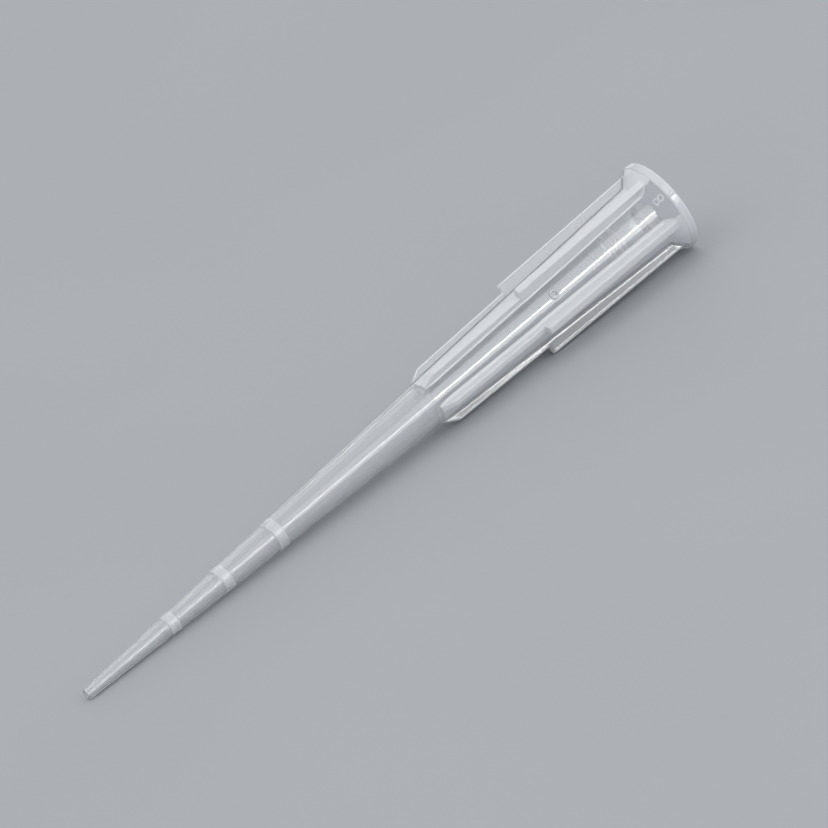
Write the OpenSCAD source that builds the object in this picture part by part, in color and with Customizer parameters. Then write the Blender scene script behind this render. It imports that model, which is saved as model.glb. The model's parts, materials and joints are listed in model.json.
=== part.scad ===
// Extra-long graduated pipette tip for small volumes, moulded in one piece.
//
// The tip lies as it comes to rest: the rounded end of the orifice and the step corners
// of two neighbouring fins touch the plane Z = 0, the orifice points along -X, and the
// front window between the two sets of fins faces -Y and a little up.
// All sizes are in millimetres.
//
// Each shape is made upright first: its mouth face in the plane Z = 0, its axis along Z
// and its front window towards +X. lay_down() then tips the whole thing over.

/* [Body] */
// Length from the mouth face to the orifice
tip_length = 46; // [42:0.5:52]
// Outside diameter of the cone at the orifice
orifice_od = 0.7; // [0.6:0.05:0.9]
// Bore of the orifice
orifice_bore = 0.4; // [0.3:0.05:0.45]
// Rounding of the orifice's outside edge
orifice_round = 0.06; // [0.02:0.01:0.08]
// Outside diameter of the cone where it meets the collar
body_od = 4.26; // [4.1:0.02:4.5]
// Wall of the cone from the seat to the far end of the fins
body_wall = 0.38; // [0.32:0.02:0.46]

/* [Collar] */
// Outside diameter of the lip
lip_od = 6.06; // [5.96:0.02:6.4]
// Height of the lip
lip_height = 0.6; // [0.45:0.05:0.9]
// Rounding of the lip's outside edges
lip_round = 0.15; // [0.05:0.01:0.2]
// Outside diameter of the flare where it meets the lip
flare_od = 5.9; // [5.7:0.02:5.94]
// Height of the flare between the lip and the cone
flare_height = 0.8; // [0.6:0.05:1.2]

/* [Bore] */
// Bore of the mouth at its open face
mouth_bore = 5.2; // [5:0.02:5.3]
// Bore where the mouth ends and the funnel starts
funnel_bore = 4.9; // [4.6:0.02:5]
// Bore of the cylindrical seat for the pipette's nozzle
seat_bore = 3.5; // [3.4:0.01:3.56]
// Length of the cylindrical seat
seat_length = 1.1; // [0.8:0.1:1.6]
// Length of the taper from the seat to the sealing band
lead_length = 1.4; // [1:0.1:2]
// Bore of the sealing band
seal_bore = 3.32; // [3.26:0.01:3.38]
// Length of the sealing band
seal_length = 0.6; // [0.4:0.1:1]
// Length of the step from the sealing band to the bore of the cone
stop_length = 0.7; // [0.4:0.1:1]

/* [Fins] */
// Number of fins on each side, left and right of the windows
fins_per_side = 3; // [1:1:3]
// Angle between neighbouring fins of one side
fin_pitch = 53; // [30:1:56]
// Height of the fins' far end above the mouth face
fin_reach = 19.15; // [16:0.05:24]
// Height of the sloping far end of the fins
fin_slope = 1; // [0.5:0.1:1.5]
// Span across two opposite fins at the top of their narrow part
narrow_span_top = 3.88; // [3.7:0.02:4]
// Span across two opposite fins at the foot of their narrow part
narrow_span_foot = 4.18; // [4.1:0.02:4.4]
// Height of the step between the narrow and the wide part
step_height = 11.15; // [9:0.05:13]
// Rounding of the wide part's corner at the step
step_round = 0.16; // [0.05:0.01:0.2]
// Span across two opposite fins at the top of their wide part
wide_span_top = 5.16; // [4.9:0.02:5.24]
// Span across two opposite fins at the foot of their wide part
wide_span_foot = 5.4; // [5.26:0.02:5.5]
// Thickness of a fin beside the body
fin_root = 0.5; // [0.4:0.02:0.6]
// Thickness of a fin at its outer edge
fin_edge = 0.42; // [0.3:0.02:0.5]

/* [Marks] */
// Number of graduation rings
ring_count = 3; // [1:1:4]
// Distance from the orifice to the middle of the first ring
first_ring = 6.55; // [5:0.05:9]
// Distance between the rings
ring_pitch = 4.1; // [3:0.1:5]
// Width of a ring
ring_width = 0.65; // [0.4:0.05:1]
// How far a ring stands out of the cone
ring_proud = 0.02; // [0.01:0.01:0.06]
// Diameter of the round pip in the front window
pip_d = 0.55; // [0.3:0.05:0.7]
// How far the pip stands out of the cone
pip_proud = 0.08; // [0.04:0.01:0.15]
// Height of the pip above the mouth face
pip_height = 9.4; // [7:0.1:13]

/* [Hidden] */
$fn = 96;
past = 1;
lip_core = lip_od / 2 - lip_round;
end_core = orifice_od / 2 - orifice_round;
collar_height = lip_height + flare_height;
seat_top = collar_height + seat_length;
seal_start = seat_top + lead_length;
seal_top = seal_start + seal_length;
stop_top = seal_top + stop_length;

// The resting plane touches the rounded end of the orifice and the step corners of two
// neighbouring fins, or the rounded edge of the lip where the fins are too short.
rest_roll = fin_angle(270, 0) + fin_pitch / 2 - 180;
corner_r = wide_span_top / 2;
corner_reach = corner_r * cos(fin_pitch / 2) + fin_half(corner_r) * sin(fin_pitch / 2);
end_height = tip_length - orifice_round;
rest_tilt = max(
    tilt_over(step_height - step_round, corner_reach),
    tilt_over(lip_height - lip_round, lip_core + lip_round)
);
mouth_rise = end_height * sin(rest_tilt) + end_core * cos(rest_tilt) + orifice_round;
mouth_side = lip_round * cos(rest_tilt) - lip_core * sin(rest_tilt) - lip_round;
orifice_side = end_height * cos(rest_tilt) + end_core * sin(rest_tilt) + orifice_round;

// Slope of the plane through the orifice's end and a point at a height and a reach.
function tilt_over(height, reach) =
    let (run = end_height - height, drop = reach - end_core)
        atan2(drop, run) - asin(orifice_round / norm([run, drop]));

// Half the thickness of a fin at a distance from the axis.
function fin_half(distance) =
    lookup(distance, [[body_od / 2, fin_root / 2], [lip_od / 2, fin_edge / 2]]);

// Outside radius of the cone at a height above the mouth face.
function cone_r(height) =
    orifice_od / 2
    + (body_od - orifice_od) / 2 * (tip_length - height) / (tip_length - collar_height);

// Height above the mouth face of the middle of ring number i.
function ring_height(i) = tip_length - first_ring - i * ring_pitch;

// Angle of fin number i on the side that points along the angle side.
function fin_angle(side, i) = side + (i - (fins_per_side - 1) / 2) * fin_pitch;

// Half section of the filled cone and collar, with rounded edges.
module outside_section() {
    polygon([
        [0, 0],
        [lip_core, 0],
        [lip_core, lip_height],
        [flare_od / 2, lip_height],
        [body_od / 2, collar_height],
        [cone_r(tip_length - orifice_round), tip_length - orifice_round],
        [end_core, tip_length],
        [0, tip_length]
    ]);
    translate([0, lip_round])
        square([lip_od / 2, lip_height - 2 * lip_round]);
    for (height = [lip_round, lip_height - lip_round])
        translate([lip_core, height])
            circle(lip_round);
    translate([end_core, tip_length - orifice_round])
        circle(orifice_round);
}

// Half section of the bore: mouth, funnel, seat, sealing band and the long taper.
module bore_section() {
    polygon([
        [0, -past],
        [mouth_bore / 2, -past],
        [mouth_bore / 2, 0],
        [funnel_bore / 2, lip_height],
        [seat_bore / 2, collar_height],
        [seat_bore / 2, seat_top],
        [seal_bore / 2, seal_start],
        [seal_bore / 2, seal_top],
        [cone_r(stop_top) - body_wall, stop_top],
        [cone_r(fin_reach) - body_wall, fin_reach],
        [orifice_bore / 2, tip_length],
        [orifice_bore / 2, tip_length + past],
        [0, tip_length + past]
    ]);
}

// Outline of one fin from the side, from the axis to its stepped outer edge.
module fin_outline() {
    shoulder = wide_span_top / 2 - step_round;
    polygon([
        [0, lip_height],
        [wide_span_foot / 2, lip_height],
        [wide_span_top / 2, step_height - step_round],
        [shoulder, step_height],
        [narrow_span_foot / 2, step_height],
        [narrow_span_top / 2, fin_reach - fin_slope],
        [cone_r(fin_reach), fin_reach],
        [0, fin_reach]
    ]);
    translate([shoulder, step_height - step_round])
        circle(step_round);
}

// Thickness of one fin from above: even beside the body, thinner towards its edge.
module fin_thickness() {
    polygon([
        [0, -fin_root / 2],
        [body_od / 2, -fin_root / 2],
        [lip_od / 2, -fin_edge / 2],
        [lip_od / 2, fin_edge / 2],
        [body_od / 2, fin_root / 2],
        [0, fin_root / 2]
    ]);
}

// One fin, which runs out from the axis along +X.
module fin() {
    intersection() {
        rotate([90, 0, 0])
            linear_extrude(height = 2 * fin_root, center = true)
                fin_outline();
        linear_extrude(height = tip_length)
            fin_thickness();
    }
}

// Both sets of fins, around +Y and around -Y.
module fins() {
    for (side = [90, 270], i = [0 : fins_per_side - 1])
        rotate([0, 0, fin_angle(side, i)])
            fin();
}

// Graduation rings around the slim end.
module rings() {
    for (i = [0 : ring_count - 1]) {
        low = ring_height(i) - ring_width / 2;
        translate([0, 0, low])
            cylinder(
                h = ring_width,
                r1 = cone_r(low) + ring_proud,
                r2 = cone_r(low + ring_width) + ring_proud
            );
    }
}

// Round pip in the middle of the front window.
module pip() {
    translate([0, 0, pip_height])
        rotate([0, 90, 0])
            cylinder(h = cone_r(pip_height) + pip_proud, d = pip_d);
}

// Rolls an upright shape onto its two fins and tips it over into its rest, centred along X.
module lay_down() {
    translate([(mouth_side + orifice_side) / 2, 0, mouth_rise])
        rotate([0, -90 - rest_tilt, 0])
            rotate([0, 0, -rest_roll])
                children();
}

module pipette_tip() {
    color("ghostwhite")
        lay_down()
            difference() {
                union() {
                    rotate_extrude()
                        outside_section();
                    fins();
                    rings();
                    pip();
                }
                rotate_extrude()
                    bore_section();
            }
}

pipette_tip();
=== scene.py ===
"""Looks of the pipette tip: the moulded tip itself, its finishes, and the studio around it."""

import json
import math

import bmesh
import bpy
import numpy as np
from mathutils import Matrix, Vector


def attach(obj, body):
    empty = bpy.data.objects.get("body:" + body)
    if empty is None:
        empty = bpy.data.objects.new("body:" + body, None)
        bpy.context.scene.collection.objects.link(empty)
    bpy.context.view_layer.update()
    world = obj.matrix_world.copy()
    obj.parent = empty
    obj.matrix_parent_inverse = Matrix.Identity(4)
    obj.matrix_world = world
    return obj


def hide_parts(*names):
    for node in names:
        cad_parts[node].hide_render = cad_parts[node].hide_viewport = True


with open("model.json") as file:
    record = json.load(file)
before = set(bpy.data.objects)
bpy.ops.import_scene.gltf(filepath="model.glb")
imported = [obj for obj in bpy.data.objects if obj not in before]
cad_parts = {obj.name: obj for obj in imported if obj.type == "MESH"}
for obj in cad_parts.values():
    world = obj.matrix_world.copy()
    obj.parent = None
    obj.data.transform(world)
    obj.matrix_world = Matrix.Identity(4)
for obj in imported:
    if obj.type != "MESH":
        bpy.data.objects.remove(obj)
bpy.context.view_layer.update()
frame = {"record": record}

MM = 0.001
WELD_DISTANCE = 1e-8  # in metres

# ---------------------------------------------------------------- sizes, in millimetres
# Heights are measured along the tip's axis from the mouth face towards the orifice.

TIP_LENGTH = 46.0
ORIFICE_R = 0.35
ORIFICE_BORE_R = 0.20
ORIFICE_ROUND = 0.06
BODY_R = 2.13
BODY_WALL = 0.38

LIP_R = 3.03
LIP_HEIGHT = 0.6
LIP_ROUND = 0.15
FLARE_R = 2.95
FLARE_HEIGHT = 0.8
COLLAR_HEIGHT = LIP_HEIGHT + FLARE_HEIGHT

# The bore: mouth, funnel, seat, sealing band, stop and the long taper to the orifice.
MOUTH_R = 2.6
MOUTH_BEVEL = 0.04
FUNNEL_R = 2.45
SEAT_R = 1.75
SEAT_LENGTH = 1.1
SEAT_TOP = COLLAR_HEIGHT + SEAT_LENGTH
LEAD_LENGTH = 1.4
SEAL_START = SEAT_TOP + LEAD_LENGTH
SEAL_R = 1.66
SEAL_LENGTH = 0.6
SEAL_TOP = SEAL_START + SEAL_LENGTH
STOP_LENGTH = 0.7
STOP_TOP = SEAL_TOP + STOP_LENGTH
ORIFICE_BEVEL = 0.02
CORE_MARK_PITCH = 0.26
CORE_MARK_DEPTH = 0.02

# Three fins on each side. Angles are in degrees from the middle of the front window.
FIN_PITCH = 53
SIDE_ANGLES = (90, 270)
FIN_ANGLES = tuple(side + turn for side in SIDE_ANGLES for turn in (-FIN_PITCH, 0, FIN_PITCH))
GAP_KINDS = ("side", "side", "back", "side", "side", "front")
FIN_REACH = 19.15
FIN_SLOPE = 1
FIN_SLOPE_FOOT = FIN_REACH - FIN_SLOPE
NARROW_TOP_R = 1.94
NARROW_FOOT_R = 2.09
STEP_HEIGHT = 11.15
STEP_ROUND = 0.16
STEP_FOOT = STEP_HEIGHT - STEP_ROUND
WIDE_TOP_R = 2.58
WIDE_FOOT_R = 2.70

# Half the thickness of a fin's edge at four heights, and how its section is rounded. On
# a low fin the roundings are a share of its height.
FIN_HALF_HEIGHTS = (LIP_HEIGHT, STEP_FOOT, STEP_HEIGHT, FIN_SLOPE_FOOT)
FIN_HALF_EDGES = (0.265, 0.25, 0.225, 0.205)
FIN_DRAFT = 0.03
FIN_EDGE_ROUND = 0.07
FIN_EDGE_ROUND_SHARE = 0.3
FIN_ROOT_FILLET = 0.14
FIN_ROOT_FILLET_SHARE = 0.4

FIRST_RING = 6.55
RING_PITCH = 4.1
RING_COUNT = 3
RING_HEIGHTS = [TIP_LENGTH - FIRST_RING - i * RING_PITCH for i in range(RING_COUNT)]
RING_WIDTH = 0.65
RING_PROUD = 0.02
RING_EDGE = 0.03

PIP_HEIGHT = 9.4
PIP_R = 0.275
PIP_PROUD = 0.08
PIP_RIM = 0.09
PIP_RIM_EDGE = 0.05
PIP_DOT_R = 0.11

NUMBER_ANGLE = math.radians(4.5)
NUMBER_LOOP_R = 0.17
NUMBER_LOOP_APART = 0.36
NUMBER_STROKE = 0.09
NUMBER_EDGE = 0.03
NUMBER_PROUD = 0.07

NIB_WIDTH = 0.36
NIB_PROUD = 0.05
NIB_MARGIN = 0.05
NIB_EDGE = 0.06

# What stands at least this proud of the cone or the flare has the milky finish, as a painted
# highlight.
RAISED_ENOUGH = 0.035

# ---------------------------------------------------------------- how fine the mesh is

# Rows down the tip: steps in millimetres, and how many rows a stretch has. A hair is less
# than any step, and tiny is what rounding can do.
SHARP_STEP = 0.03
CLOSE_STEP = 0.1
FLARE_STEP = 0.025
BORE_STEP = 0.6
CORNER_CUT = 0.03
CORNER_CUT_SHARE = 0.3
ARC_ROWS = 5
LIP_FOOT_ROWS = 7
LIP_SIDE_ROWS = 7
RING_GAP_ROWS = 9
CONE_ROWS = 16
SLOPE_ROWS = 7
NARROW_ROWS = 10
STEP_TURNS = (75, 60, 45, 30, 15, 0)
ABOVE_PIP_ROWS = 4
PIP_PATCH = 0.36
PIP_PATCH_MARGIN = 0.06
PIP_ROWS = 19
BELOW_PIP_ROWS = 14
HAIR = 0.01
TINY = 1e-6

# Columns round the tip: points of half a fin, and of the gaps between fins. Where there
# is no fin, each half of it is folded onto the body's circle, over a small angle.
FIN_EDGE_SHARES = (0.0, 0.5)
FIN_ROUND_POINTS = 4
FIN_FLANK_POINTS = 4
FIN_FILLET_POINTS = 5
FIN_FOLDED_ANGLE = math.radians(8.2)
FIN_FOLDED_BELOW = 1e-4
SIDE_GAP_POINTS = 8
BACK_GAP_POINTS = 26
FRONT_MARGIN = 0.28
FRONT_MARGIN_POINTS = 6
FRONT_MIDDLE_POINTS = 73
SLIM_COLUMNS = 96

# ---------------------------------------------------------------- where the tip lies
# It rests on the step corners of the fourth and fifth fins, so the middle between them
# points straight down.

REST_ROLL = math.radians(FIN_ANGLES[3] + FIN_PITCH / 2 - 180)
SEAT_MIDDLE = (COLLAR_HEIGHT + SEAT_TOP) / 2


def tip_axes():
    """Mouth centre, axis towards the orifice and the direction square to it that points up.

    They come from the seat's mount: the axis is the mount's, turned round, and the mouth
    centre lies half the seat's height from the mount along it.
    """
    seat = next(m for m in frame["record"]["mounts"] if m["name"] == "nozzle_seat")
    out = Vector(seat["axis"]).normalized()
    mouth = Vector(seat["pos_m"]) + out * SEAT_MIDDLE * MM
    up = (Vector((0, 0, 1)) - out * out.z).normalized()
    return mouth, -out, up


MOUTH, AXIS, UP = tip_axes()
SIDE = AXIS.cross(UP)


def radial(angle):
    """Direction square to the axis at an angle from the middle of the front window."""
    return UP * math.cos(angle - REST_ROLL) + SIDE * math.sin(angle - REST_ROLL)


def place(x, y, height):
    """Upright millimetre coordinates, as arrays, to points in the part's frame in metres."""
    forward, left = np.array(radial(0)), np.array(radial(math.pi / 2))
    points = x[..., None] * forward + y[..., None] * left + height[..., None] * np.array(AXIS)
    return np.array(MOUTH) + points * MM


# ---------------------------------------------------------------- the moulded tip


def body_radius(height):
    """Straight cone from the orifice's outside radius to the body's at the collar."""
    share = (TIP_LENGTH - height) / (TIP_LENGTH - COLLAR_HEIGHT)
    return ORIFICE_R + (BODY_R - ORIFICE_R) * share


def arc(centre_height, centre_r, radius, start, end, count):
    """Points (height, radius) on a circle in the axis plane, from angle start to end.

    Angle 0 points away from the axis and 90 towards the orifice.
    """
    turn = np.radians(np.linspace(start, end, count))
    return np.stack([centre_height + radius * np.sin(turn), centre_r + radius * np.cos(turn)], 1)


def walk(points, step):
    """Rows along a bent line: even steps of at most a length, with each corner cut off a little.

    Every straight run starts and ends short of its corners, by the cut or by a share of
    the run where that is less.
    """
    points = np.asarray(points, float)
    rows = []
    for start, end in zip(points[:-1], points[1:]):
        run = np.linalg.norm(end - start)
        cut = min(CORNER_CUT / run, CORNER_CUT_SHARE)
        count = max(2, math.ceil(run / step) + 1)
        share = np.linspace(cut, 1 - cut, count)[:, None]
        rows.append(start + (end - start) * share)
    return np.concatenate(rows)


def ring_rows(ring):
    """Heights of the rows down one ring: three close ones at each edge and two between."""
    top, foot = ring + RING_WIDTH / 2, ring - RING_WIDTH / 2
    close = np.array([SHARP_STEP, 0, -SHARP_STEP])
    between = 5 * SHARP_STEP
    return [*(top + close), ring + between, ring - between, *(foot + close)]


def fin_rows():
    """Heights of the rows down the fins: close at the slope, at the step and round the pip."""
    patch = PIP_PATCH + PIP_PATCH_MARGIN
    return [
        *np.linspace(FIN_REACH, FIN_SLOPE_FOOT, SLOPE_ROWS),
        FIN_SLOPE_FOOT - CLOSE_STEP,
        *np.linspace(FIN_SLOPE_FOOT - 3 * CLOSE_STEP, STEP_HEIGHT + CLOSE_STEP, NARROW_ROWS),
        STEP_HEIGHT + CLOSE_STEP / 2,
        STEP_HEIGHT + CLOSE_STEP / 5,
        STEP_HEIGHT,
        *(STEP_FOOT + STEP_ROUND * np.sin(np.radians(STEP_TURNS))),
        *np.linspace(STEP_FOOT - 2 * CLOSE_STEP, PIP_HEIGHT + patch, ABOVE_PIP_ROWS),
        *np.linspace(PIP_HEIGHT + PIP_PATCH, PIP_HEIGHT - PIP_PATCH, PIP_ROWS),
        *np.linspace(PIP_HEIGHT - patch, COLLAR_HEIGHT + 1.2 * CLOSE_STEP, BELOW_PIP_ROWS),
    ]


def cone_rows():
    """Heights of the rows down the cone, from the rounded orifice to the collar."""
    heights = [TIP_LENGTH - ORIFICE_ROUND - CLOSE_STEP]
    for ring in RING_HEIGHTS:
        above = ring + RING_WIDTH / 2 + 2 * SHARP_STEP
        heights += [*np.linspace(heights[-1], above, RING_GAP_ROWS)[1:], *ring_rows(ring)]
    before_fins = FIN_REACH + 0.8 * CLOSE_STEP
    heights += [*np.linspace(heights[-1], before_fins, CONE_ROWS)[1:]]
    return np.array(heights + fin_rows())


def outside_rows():
    """Rows (height, body radius) down the outside, from the orifice to the mouth face.

    They run round the orifice's edge, down the straight cone and the flare, and round the lip.
    """
    end, end_core = TIP_LENGTH - ORIFICE_ROUND, ORIFICE_R - ORIFICE_ROUND
    orifice = arc(end, end_core, ORIFICE_ROUND, 90, 0, ARC_ROWS)
    heights = cone_rows()
    cone = np.stack([heights, body_radius(heights)], 1)
    flare = walk([(COLLAR_HEIGHT, BODY_R), (LIP_HEIGHT, FLARE_R)], FLARE_STEP)
    lip_core = LIP_R - LIP_ROUND
    shoulder = math.degrees(math.acos((FLARE_R - lip_core) / LIP_ROUND))
    lip_top = arc(LIP_HEIGHT - LIP_ROUND, lip_core, LIP_ROUND, shoulder, 0, ARC_ROWS)
    lip_foot = arc(LIP_ROUND, lip_core, LIP_ROUND, 0, -90, LIP_FOOT_ROWS)
    side_heights = np.linspace(LIP_HEIGHT - LIP_ROUND, LIP_ROUND, LIP_SIDE_ROWS)[1:-1]
    lip_side = np.stack([side_heights, np.full_like(side_heights, LIP_R)], 1)
    return np.concatenate([orifice, cone, flare, lip_top, lip_side, lip_foot])


def inside_rows():
    """Rows (height, radius) up the bore, from the mouth face to the orifice.

    From the sealing band to the top of the stop the mould's core leaves fine turning marks:
    every half pitch the bore is narrower by nothing and by the marks' depth in turn.
    """
    low = [
        (0, MOUTH_R + MOUTH_BEVEL),
        (MOUTH_BEVEL, MOUTH_R),
        (LIP_HEIGHT, FUNNEL_R),
        (COLLAR_HEIGHT, SEAT_R),
        (SEAT_TOP, SEAT_R),
        (SEAL_START, SEAL_R),
    ]
    marked = np.arange(SEAL_START, STOP_TOP + TINY, CORE_MARK_PITCH / 2)
    stop_r = body_radius(STOP_TOP) - BODY_WALL
    radius = np.interp(marked, [SEAL_START, SEAL_TOP, STOP_TOP], [SEAL_R, SEAL_R, stop_r])
    wave = CORE_MARK_DEPTH * (np.arange(len(marked)) % 2)
    high = [
        (STOP_TOP, stop_r),
        (FIN_REACH, body_radius(FIN_REACH) - BODY_WALL),
        (TIP_LENGTH - ORIFICE_BEVEL, ORIFICE_BORE_R),
        (TIP_LENGTH, ORIFICE_BORE_R + ORIFICE_BEVEL),
    ]
    marks = np.stack([marked, radius - wave], 1)[1:-1]
    return np.concatenate([walk(low, BORE_STEP), marks, walk(high, BORE_STEP)])


def fin_reach_at(height):
    """Distance of the fins' outer edge from the axis: slope, narrow part, step, wide part.

    All are straight in between, and the wide part ends at the step in a quarter circle.
    """
    rise = np.clip((height - STEP_FOOT) / STEP_ROUND, 0, 1)
    corner = WIDE_TOP_R - STEP_ROUND * (1 - np.sqrt(1 - rise**2))
    wide = np.interp(height, [LIP_HEIGHT, STEP_FOOT], [WIDE_FOOT_R, WIDE_TOP_R])
    narrow = np.interp(
        height,
        [STEP_HEIGHT, FIN_SLOPE_FOOT, FIN_REACH],
        [NARROW_FOOT_R, NARROW_TOP_R, body_radius(FIN_REACH)],
    )
    low = np.where(height <= STEP_FOOT, wide, corner)
    return np.where(height > FIN_REACH, 0, np.where(height > STEP_HEIGHT - TINY, narrow, low))


def half_fin(height, body, reach):
    """Half of one fin's section for every row, from the middle of its edge to the body.

    The edge is an arc about the axis, then a rounding, a straight flank and a fillet that
    touches both the flank and the body's circle. The flank widens towards the root by the
    draft times the fin's height. A fin of no height lies folded on the circle, evenly spread.
    """
    tall = np.maximum(reach - body, 0)
    reach = body + tall
    edge = np.interp(height, FIN_HALF_HEIGHTS, FIN_HALF_EDGES)
    edge = np.minimum(edge, body * math.sin(FIN_FOLDED_ANGLE))
    root = edge + FIN_DRAFT * tall
    fillet = np.minimum(FIN_ROOT_FILLET, FIN_ROOT_FILLET_SHARE * tall)
    bend = np.minimum(FIN_EDGE_ROUND, FIN_EDGE_ROUND_SHARE * tall)

    centre_x = np.sqrt((reach - bend) ** 2 - (edge - bend) ** 2)
    turn = np.arctan2(edge - bend, centre_x)
    across = turn[:, None] * np.array(FIN_EDGE_SHARES)
    x = [reach[:, None] * np.cos(across)]
    y = [reach[:, None] * np.sin(across)]

    share = np.linspace(0, 1, FIN_ROUND_POINTS)
    angle = turn[:, None] + (math.pi / 2 - turn[:, None]) * share
    x.append(centre_x[:, None] + bend[:, None] * np.cos(angle))
    y.append((edge - bend)[:, None] + bend[:, None] * np.sin(angle))

    foot_x = np.sqrt((body + fillet) ** 2 - (root + fillet) ** 2)
    share = np.linspace(0, 1, FIN_FLANK_POINTS + 2)[1:-1]
    x.append(centre_x[:, None] + (foot_x - centre_x)[:, None] * share)
    y.append(edge[:, None] + (root - edge)[:, None] * share)

    lean = np.arctan2(root + fillet, foot_x)
    share = np.linspace(0, 1, FIN_FILLET_POINTS)
    angle = -math.pi / 2 - (math.pi / 2 - lean)[:, None] * share
    x.append(foot_x[:, None] + fillet[:, None] * np.cos(angle))
    y.append((root + fillet)[:, None] + fillet[:, None] * np.sin(angle))
    x, y = np.concatenate(x, 1), np.concatenate(y, 1)

    folded = (tall < FIN_FOLDED_BELOW)[:, None]
    spread = FIN_FOLDED_ANGLE * np.linspace(0, 1, x.shape[1])
    x = np.where(folded, body[:, None] * np.cos(spread), x)
    y = np.where(folded, body[:, None] * np.sin(spread), y)
    return x, y, np.where(folded[:, 0], FIN_FOLDED_ANGLE, lean)


def gap_shares(kind):
    """Where the points between two fins lie, as shares: dense in the middle of the front."""
    if kind == "side":
        return np.linspace(0, 1, SIDE_GAP_POINTS)[1:-1]
    if kind == "back":
        return np.linspace(0, 1, BACK_GAP_POINTS)[1:-1]
    margin = np.linspace(0, FRONT_MARGIN, FRONT_MARGIN_POINTS)[1:-1]
    middle = np.linspace(FRONT_MARGIN, 1 - FRONT_MARGIN, FRONT_MIDDLE_POINTS)
    return np.concatenate([margin, middle, 1 - margin[::-1]])


def sections(height, body, reach):
    """Closed section of every row as x and y arrays, one column after another round the axis.

    Each fin is two half fins, mirrored, turned to its angle, and joined to the next one by
    points on the body's circle. Past the fins the points gather on a few even columns.
    """
    x, y, lean = half_fin(height, body, reach)
    along = np.concatenate([x[:, ::-1], x[:, 1:]], 1)
    over = np.concatenate([-y[:, ::-1], y[:, 1:]], 1)
    columns = []
    for here, after, kind in zip(FIN_ANGLES, FIN_ANGLES[1:] + (FIN_ANGLES[0] + 360,), GAP_KINDS):
        a = math.radians(here)
        columns.append(
            (along * math.cos(a) - over * math.sin(a), along * math.sin(a) + over * math.cos(a))
        )
        start = (a + lean)[:, None]
        end = (math.radians(after) - lean)[:, None]
        angle = start + (end - start) * gap_shares(kind)
        columns.append((body[:, None] * np.cos(angle), body[:, None] * np.sin(angle)))
    x, y = np.concatenate([c[0] for c in columns], 1), np.concatenate([c[1] for c in columns], 1)
    slim = (height > FIN_REACH + HAIR)[:, None]
    step = 2 * math.pi / SLIM_COLUMNS
    even = np.round(np.arctan2(y, x) / step) % SLIM_COLUMNS * step
    radius = body[:, None]
    return np.where(slim, radius * np.cos(even), x), np.where(slim, radius * np.sin(even), y)


def column_kinds():
    """What each column of faces belongs to, in the order of the columns of sections().

    A face counts as a fin's edge only if both columns beside it lie on the edge.
    """
    edge_points = len(FIN_EDGE_SHARES) + FIN_ROUND_POINTS
    flank_points = FIN_FLANK_POINTS + FIN_FILLET_POINTS
    half = ["edge"] * edge_points + ["flank"] * flank_points
    fin = half[::-1] + half[1:]
    kinds = []
    for angle, gap in zip(FIN_ANGLES, GAP_KINDS):
        owner = "outer" if angle in SIDE_ANGLES else "inner"
        kinds += [f"{owner} {part}" for part in fin] + [gap] * len(gap_shares(gap))
    for here, after in zip(range(len(kinds)), kinds[1:] + kinds[:1]):
        if kinds[here].endswith("edge") and not after.endswith("edge"):
            kinds[here] = after
    return np.array(kinds)


def bump(distance, radius):
    """Round hump: 1 less the share of the radius squared, and that squared again.

    It is 1 in the middle, 0 from the radius outwards, and level at both.
    """
    share = np.clip(distance / radius, 0, 1)
    return (1 - share**2) ** 2


def plateau(distance, half, edge):
    """Flat hump: 1 inside half the width, then a smooth fall to 0 across the edge.

    The fall is three times the share's square less twice its cube.
    """
    share = np.clip((half + edge / 2 - distance) / edge, 0, 1)
    return share * share * (3 - 2 * share)


def moulded_marks(angle, height, radius):
    """How far the outside stands proud of its plain form: rings, pip, number and gate nib.

    A ring is a flat band with steep edges. The pip is a round rim with a small dome in the
    middle. The mould's number is two loops on the flare, one above the other; the flare
    slopes by about 45 degrees, so heights on it count by the root of two. The nib is a low
    round ridge down the lip.
    """
    proud = np.zeros_like(height)
    for ring in RING_HEIGHTS:
        proud += RING_PROUD * plateau(np.abs(height - ring), RING_WIDTH / 2, RING_EDGE)
    away = np.hypot(angle * radius, height - PIP_HEIGHT)
    from_rim = np.abs(away - PIP_R + PIP_RIM / 2)
    proud += PIP_PROUD * plateau(from_rim, PIP_RIM / 2, PIP_RIM_EDGE)
    proud += PIP_PROUD * bump(away, PIP_DOT_R)
    along_flare = (height - (LIP_HEIGHT + COLLAR_HEIGHT) / 2) * math.sqrt(2)
    round_flare = (angle - NUMBER_ANGLE) * radius
    for side in (-0.5, 0.5):
        from_middle = np.hypot(round_flare, along_flare - side * NUMBER_LOOP_APART)
        on_loop = plateau(np.abs(from_middle - NUMBER_LOOP_R), NUMBER_STROKE / 2, NUMBER_EDGE)
        proud = np.maximum(proud, NUMBER_PROUD * on_loop * (height < COLLAR_HEIGHT))
    from_lip = np.abs(height - LIP_HEIGHT / 2)
    on_lip = plateau(from_lip, LIP_HEIGHT / 2 - NIB_MARGIN, NIB_EDGE)
    proud += NIB_PROUD * on_lip * bump(np.abs(angle * radius), NIB_WIDTH / 2)
    return proud


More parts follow.
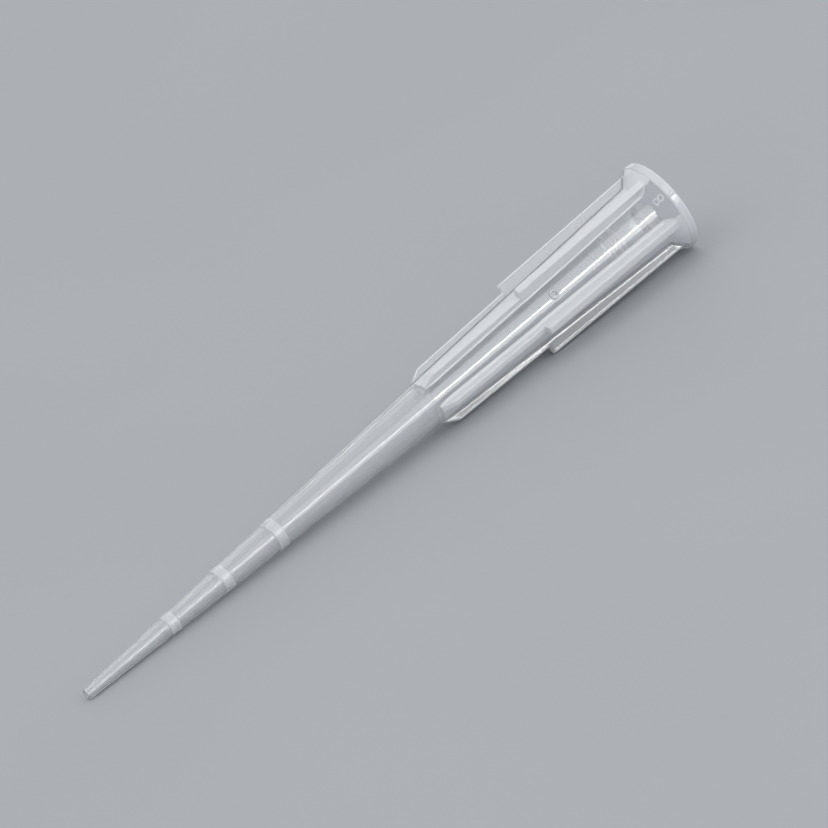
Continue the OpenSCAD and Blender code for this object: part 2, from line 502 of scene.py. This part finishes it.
def closed_grid(name, points, marks):
    """Mesh from a grid of points that closes both ways, like a ring, with equal points welded.

    The marks hold one material index for each face, in the grid's rows and columns.
    """
    rows, columns = points.shape[:2]
    i = np.arange(rows)[:, None] * columns
    j = np.arange(columns)[None, :]
    below = np.roll(i, -1, 0)
    right = np.roll(j, -1, 1)
    faces = np.stack([i + j, below + j, below + right, i + right], -1).reshape(-1, 4)
    mesh = bpy.data.meshes.new(name)
    mesh.from_pydata(points.reshape(-1, 3).tolist(), [], faces.tolist())
    mesh.polygons.foreach_set("use_smooth", np.ones(len(faces), bool))
    mesh.polygons.foreach_set("material_index", marks.ravel().astype(np.int32))
    mesh.update()
    weld = bmesh.new()
    weld.from_mesh(mesh)
    bmesh.ops.remove_doubles(weld, verts=weld.verts, dist=WELD_DISTANCE)
    weld.to_mesh(mesh)
    weld.free()
    piece = bpy.data.objects.new(name, mesh)
    bpy.context.scene.collection.objects.link(piece)
    return piece


def outside_finishes(row_height, raised):
    """Finish of every face of the outside, by the height of its row and the kind of column.

    A face takes the height of its upper row. The walls between the side fins, the inner fins
    and the outer fins' edges take the milky finish as painted light, for light that the fins
    scatter and reflect and for bright edges. The pip and the number, which stand proud by the
    raised amounts, and the round foot of the lip take it as painted highlights.
    """
    height = row_height[:, None]
    kinds = column_kinds()[None, :]
    # Painted light: the walls between the side fins, the inner fins and the outer fins' edges are
    # made milky to paint in light scattered and reflected by the fins, and bright edges.
    side = (kinds == "side") | np.char.startswith(kinds, "inner") | (kinds == "outer edge")
    marks = np.where(height < FIN_REACH, np.where(side, MILKY_AND_PAINTED_LIGHT, CLEAR), SLIM)
    marks = np.where((height < FIN_REACH) & (kinds == "outer flank"), FIN, marks)
    for ring in RING_HEIGHTS:
        on_ring = np.abs(height - HAIR - ring) < RING_WIDTH / 2
        marks = np.where(on_ring, RING, marks)
    window = (kinds == "front") | (kinds == "back")
    marks = np.where((height < COLLAR_HEIGHT) & window, FLARE, marks)
    # Painted highlight: the pip and the number are made milky so that they show bright.
    marks = np.where((height < FIN_REACH) & (raised > RAISED_ENOUGH), MILKY_AND_PAINTED_LIGHT, marks)
    marks = np.where(height <= LIP_HEIGHT + 2 * HAIR, LIP, marks)
    # Painted highlight: the round foot of the lip is made milky, a bright line round the mouth.
    return np.where(height < LIP_ROUND + HAIR, MILKY_AND_PAINTED_LIGHT, marks)


def inside_finishes(row_height):
    """Finish of every face of the bore, by the height of its row and the kind of column.

    It is milky behind the fins, where the milky finish is painted light from the fins, and in
    every other turning mark, that of the slim end past the fins, and polished everywhere else.
    """
    height = row_height[:, None]
    kinds = column_kinds()[None, :]
    side = (kinds != "front") & (kinds != "back")
    # Painted light: the bore behind the fins is made milky to paint in light scattered by the fins.
    painted_light_behind_fins = side & (height > COLLAR_HEIGHT) & (height < FIN_REACH)
    marks = np.where(painted_light_behind_fins, MILKY_AND_PAINTED_LIGHT, np.where(height > FIN_REACH, SLIM, BORE))
    marked = (height > SEAL_START + HAIR) & (height < STOP_TOP - HAIR)
    groove = np.round((height - SEAL_START) / CORE_MARK_PITCH * 2) % 2 == 1
    return np.where(marked & groove, MILKY_AND_PAINTED_LIGHT, marks)


def build_tip(finishes):
    """The whole moulding as one closed surface: outside rows, then the bore's rows back up."""
    outer, inner = outside_rows(), inside_rows()
    x, y = sections(outer[:, 0], outer[:, 1], fin_reach_at(outer[:, 0]))
    height = np.repeat(outer[:, :1], x.shape[1], 1)
    radius = np.hypot(x, y)
    raised = moulded_marks(np.arctan2(y, x), height, radius)
    grown = 1 + raised / radius
    x, y = x * grown, y * grown
    inner_x, inner_y = sections(inner[:, 0], inner[:, 1], np.zeros(len(inner)))
    inner_height = np.repeat(inner[:, :1], x.shape[1], 1)
    points = place(
        np.concatenate([x, inner_x]),
        np.concatenate([y, inner_y]),
        np.concatenate([height, inner_height]),
    )
    marks = np.concatenate([outside_finishes(outer[:, 0], raised), inside_finishes(inner[:, 0])])
    tip = closed_grid("moulded_tip", points, marks)
    for finish in finishes:
        tip.data.materials.append(finish)
    return tip


# ---------------------------------------------------------------- finishes
# By number: clear windows, milky bands that are painted light, clear outer fins, frosted
# rings, lip, polished bore, the flare's windows and the slim end past the fins.

CLEAR, MILKY_AND_PAINTED_LIGHT, FIN, RING, LIP, BORE, FLARE, SLIM = range(8)
WATER_WHITE = (0.96, 0.97, 0.985)
MILK_WHITE = (0.95, 0.96, 0.98)
PLASTIC_IOR = 1.49
COAT_ROUGHNESS = 0.05
CLOUD_SCALE = 420
CLOUD_RANGE = (0.3, 0.7)
FLOW_LENGTH = 0.012
FLOW_WIDTH = 0.0006

FLOOR_TONES = ((0.424, 0.438, 0.459), (0.436, 0.450, 0.471))
FLOOR_TONE_STOPS = (0.35, 0.65)
FLOOR_ROUGHNESS = (0.62, 0.78)
FLOOR_PATCH_SCALE = 30
ROLLER_SCALE = 900
ROLLER_DEPTH = 1e-5


def set_sockets(node, **sockets):
    """Gives a shader node plain socket values, each by its socket's name."""
    for socket, value in sockets.items():
        node.inputs[socket.replace("_", " ")].default_value = value


def add_node(material, kind, **sockets):
    """New node of a kind in a material, with the given plain socket values."""
    node = material.node_tree.nodes.new(kind)
    set_sockets(node, **sockets)
    return node


def principled(name, **sockets):
    """New material with one Principled shader and the given plain socket values."""
    material = bpy.data.materials.new(name)
    material.use_nodes = True
    shader = material.node_tree.nodes["Principled BSDF"]
    set_sockets(shader, **sockets)
    return material, shader


def moulded_plastic(name, colour, transmission, roughness, skin, coat=0.0):
    """Natural polypropylene with a cloudy polish and a moulded skin.

    The cloudiness is noise between the two roughness values. The skin is noise drawn out
    along the tip, like the lines in which the plastic flowed, as a bump of some depth.
    """
    material, shader = principled(
        name,
        Base_Color=(*colour, 1),
        IOR=PLASTIC_IOR,
        Transmission_Weight=transmission,
        Coat_Weight=coat,
        Coat_Roughness=COAT_ROUGHNESS,
    )
    links = material.node_tree.links
    place_on = add_node(material, "ShaderNodeTexCoord")
    cloud = add_node(material, "ShaderNodeTexNoise", Scale=CLOUD_SCALE, Detail=3)
    polish = add_node(
        material,
        "ShaderNodeMapRange",
        From_Min=CLOUD_RANGE[0],
        From_Max=CLOUD_RANGE[1],
        To_Min=roughness[0],
        To_Max=roughness[1],
    )
    links.new(place_on.outputs["Object"], cloud.inputs["Vector"])
    links.new(cloud.outputs["Fac"], polish.inputs["Value"])
    links.new(polish.outputs["Result"], shader.inputs["Roughness"])
    draw_out = add_node(
        material,
        "ShaderNodeMapping",
        Rotation=(0, math.asin(AXIS.z), 0),
        Scale=(FLOW_LENGTH, FLOW_WIDTH, FLOW_WIDTH),
    )
    draw_out.vector_type = "TEXTURE"
    flow = add_node(material, "ShaderNodeTexNoise", Scale=1, Detail=2)
    relief = add_node(material, "ShaderNodeBump", Strength=1, Distance=skin)
    links.new(place_on.outputs["Object"], draw_out.inputs["Vector"])
    links.new(draw_out.outputs["Vector"], flow.inputs["Vector"])
    links.new(flow.outputs["Fac"], relief.inputs["Height"])
    links.new(relief.outputs["Normal"], shader.inputs["Normal"])
    return material


def tip_finishes():
    """Finishes of the tip, in the order of their numbers.

    Each has a colour, the share of the light that goes through, its roughness from and to,
    and the depth of its skin in metres.
    """
    return [
        moulded_plastic("clear_polypropylene", WATER_WHITE, 0.90, (0.12, 0.18), 3e-7, coat=0.8),
        # Milky finish: real in the bore's turning marks; everywhere else it paints in light and
        # highlights.
        moulded_plastic("milky_and_painted_light_polypropylene", MILK_WHITE, 0.33, (0.16, 0.26), 1e-6),
        moulded_plastic("fin_polypropylene", WATER_WHITE, 0.80, (0.05, 0.08), 4e-7),
        moulded_plastic("ring_polypropylene", MILK_WHITE, 0.50, (0.24, 0.32), 5e-7),
        moulded_plastic("lip_polypropylene", MILK_WHITE, 0.50, (0.10, 0.16), 5e-7),
        moulded_plastic("bore_polypropylene", WATER_WHITE, 0.94, (0.04, 0.07), 5e-7),
        moulded_plastic("flare_polypropylene", WATER_WHITE, 0.97, (0.04, 0.07), 5e-7),
        moulded_plastic("slim_polypropylene", WATER_WHITE, 0.74, (0.10, 0.15), 2e-7),
    ]


def floor_paint():
    """Plain pale studio floor: matt paint whose tone and roller texture vary very slightly."""
    material, shader = principled("studio_floor", Base_Color=(*FLOOR_TONES[0], 1))
    links = material.node_tree.links
    place_on = add_node(material, "ShaderNodeTexCoord")
    patches = add_node(material, "ShaderNodeTexNoise", Scale=FLOOR_PATCH_SCALE)
    tone = add_node(material, "ShaderNodeValToRGB")
    for stop, position, colour in zip(tone.color_ramp.elements, FLOOR_TONE_STOPS, FLOOR_TONES):
        stop.position = position
        stop.color = (*colour, 1)
    sheen = add_node(
        material, "ShaderNodeMapRange", To_Min=FLOOR_ROUGHNESS[0], To_Max=FLOOR_ROUGHNESS[1]
    )
    roller = add_node(material, "ShaderNodeTexNoise", Scale=ROLLER_SCALE)
    relief = add_node(material, "ShaderNodeBump", Strength=1, Distance=ROLLER_DEPTH)
    for noise in (patches, roller):
        links.new(place_on.outputs["Object"], noise.inputs["Vector"])
    links.new(patches.outputs["Fac"], tone.inputs["Fac"])
    links.new(tone.outputs["Color"], shader.inputs["Base Color"])
    links.new(patches.outputs["Fac"], sheen.inputs["Value"])
    links.new(sheen.outputs["Result"], shader.inputs["Roughness"])
    links.new(roller.outputs["Fac"], relief.inputs["Height"])
    links.new(relief.outputs["Normal"], shader.inputs["Normal"])
    return material


# ---------------------------------------------------------------- the studio, in metres

CAMERA_DISTANCE = 0.60
CAMERA_TILT = math.radians(18.5)
CAMERA_TURN = math.radians(-2.5)
CAMERA_ROLL = math.radians(180 + 40.48)
VIEW_WIDTH = 0.04778
AIM_RIGHT = 0.00208
AIM_UP = 0.00186
SENSOR_MM = 36.0
CLIP_START = 0.005
CLIP_END = 20

FLOOR_REACH = 3.0
CORNERS = ((-1, -1), (1, -1), (1, 1), (-1, 1))

# Lamps round the tip: name, angle from the middle of the front window in degrees,
# distance, length, width, power in watts, whether matt surfaces see the lamp and whether
# it is seen through the plastic.
LAMPS = (
    ("front", 12, 0.8, 0.6, 0.4, 1.4, True, False),
    ("rim", 142, 0.6, 0.5, 0.12, 0.25, False, True),
    ("fill", -17, 0.5, 0.3, 0.12, 0.45, False, False),
    ("strip", -7, 0.3, 0.2, 0.03, 0.26, False, False),
)
OVERHEAD_DISTANCE = 0.9
OVERHEAD_LENGTH = 1.1
OVERHEAD_WIDTH = 0.9
OVERHEAD_POWER = 1.0
OVERHEAD_LEAN = 0.3
SKY_COLOUR = (0.95, 0.97, 1.0)
SKY_STRENGTH = 0.76
BACKDROP_COLOUR = (0.42, 0.434, 0.456)


def view_axes():
    """Right, up and backward directions of the camera, which looks at the tip's middle."""
    backward = (
        radial(CAMERA_TURN) * math.cos(CAMERA_TILT) + AXIS * math.sin(CAMERA_TILT)
    ).normalized()
    level = AXIS.cross(backward).normalized()
    upright = backward.cross(level)
    right = level * math.sin(CAMERA_ROLL) + upright * math.cos(CAMERA_ROLL)
    up = -level * math.cos(CAMERA_ROLL) + upright * math.sin(CAMERA_ROLL)
    return right, up, backward


RIGHT, OVER, BACKWARD = view_axes()
MIDDLE = MOUTH + AXIS * TIP_LENGTH / 2 * MM


def add_camera():
    """Long lens that takes in the whole tip from a little towards its orifice."""
    data = bpy.data.cameras.new("camera")
    camera = bpy.data.objects.new("camera", data)
    bpy.context.scene.collection.objects.link(camera)
    turn = Matrix((RIGHT, OVER, BACKWARD)).transposed().to_4x4()
    turn.translation = MIDDLE + BACKWARD * CAMERA_DISTANCE + RIGHT * AIM_RIGHT + OVER * AIM_UP
    camera.matrix_world = turn
    data.sensor_width = SENSOR_MM
    data.lens = SENSOR_MM * CAMERA_DISTANCE / VIEW_WIDTH
    data.clip_start = CLIP_START
    data.clip_end = CLIP_END
    bpy.context.scene.camera = camera


def add_floor(paint):
    """Level square that the tip lies on."""
    mesh = bpy.data.meshes.new("floor")
    corners = [(x * FLOOR_REACH, y * FLOOR_REACH, 0) for x, y in CORNERS]
    mesh.from_pydata(corners, [], [(0, 1, 2, 3)])
    floor = bpy.data.objects.new("floor", mesh)
    bpy.context.scene.collection.objects.link(floor)
    mesh.materials.append(paint)


def add_lamp(name, direction, distance, length, width, power):
    """Soft box that faces the tip's middle, its long side along the tip."""
    direction = direction.normalized()
    data = bpy.data.lights.new(name, "AREA")
    data.shape = "RECTANGLE"
    data.size = length
    data.size_y = width
    data.energy = power
    lamp = bpy.data.objects.new(name, data)
    bpy.context.scene.collection.objects.link(lamp)
    long_side = (AXIS - direction * AXIS.dot(direction)).normalized()
    turn = Matrix((long_side, direction.cross(long_side), direction)).transposed().to_4x4()
    turn.translation = MIDDLE + direction * distance
    lamp.matrix_world = turn
    lamp.visible_camera = False
    return lamp


def across_view(degrees):
    """Direction at an angle in degrees from the middle of the front window.

    It leans to the mouth as far as the camera leans to the orifice, so that a lamp there is
    mirrored into the camera all along the tip.
    """
    return radial(math.radians(degrees)) * math.cos(CAMERA_TILT) - AXIS * math.sin(CAMERA_TILT)


def add_lamps():
    """One large soft box overhead, which leans a little to the left of the view, and the rest."""
    above = Vector((0, 0, 1)) + (OVER - RIGHT) * OVERHEAD_LEAN
    add_lamp("overhead", above, OVERHEAD_DISTANCE, OVERHEAD_LENGTH, OVERHEAD_WIDTH, OVERHEAD_POWER)
    for name, degrees, distance, length, width, power, on_matt, through_tip in LAMPS:
        lamp = add_lamp(name, across_view(degrees), distance, length, width, power)
        lamp.visible_diffuse = on_matt
        lamp.visible_transmission = through_tip


def add_sky():
    """Even light for matt surfaces, and a plain backdrop for the camera, gloss and clear plastic."""
    world = bpy.data.worlds.new("studio")
    bpy.context.scene.world = world
    world.use_nodes = True
    nodes, links = world.node_tree.nodes, world.node_tree.links
    sky = nodes["Background"]
    set_sockets(sky, Color=(*SKY_COLOUR, 1), Strength=SKY_STRENGTH)
    backdrop = nodes.new("ShaderNodeBackground")
    set_sockets(backdrop, Color=(*BACKDROP_COLOUR, 1))
    path = nodes.new("ShaderNodeLightPath")
    seen = nodes.new("ShaderNodeMath")
    seen.operation = "ADD"
    looked_at = nodes.new("ShaderNodeMath")
    looked_at.operation = "ADD"
    looked_at.use_clamp = True
    choice = nodes.new("ShaderNodeMixShader")
    links.new(path.outputs["Is Camera Ray"], seen.inputs[0])
    links.new(path.outputs["Is Glossy Ray"], seen.inputs[1])
    links.new(seen.outputs[0], looked_at.inputs[0])
    links.new(path.outputs["Is Transmission Ray"], looked_at.inputs[1])
    links.new(looked_at.outputs[0], choice.inputs[0])
    links.new(sky.outputs[0], choice.inputs[1])
    links.new(backdrop.outputs[0], choice.inputs[2])
    links.new(choice.outputs[0], nodes["World Output"].inputs["Surface"])


# ---------------------------------------------------------------- putting it together

add_camera()
tip = build_tip(tip_finishes())
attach(tip, "root")
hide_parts("pipette_tip")
add_floor(floor_paint())
add_lamps()
add_sky()
bpy.context.scene.view_settings.view_transform = "Standard"
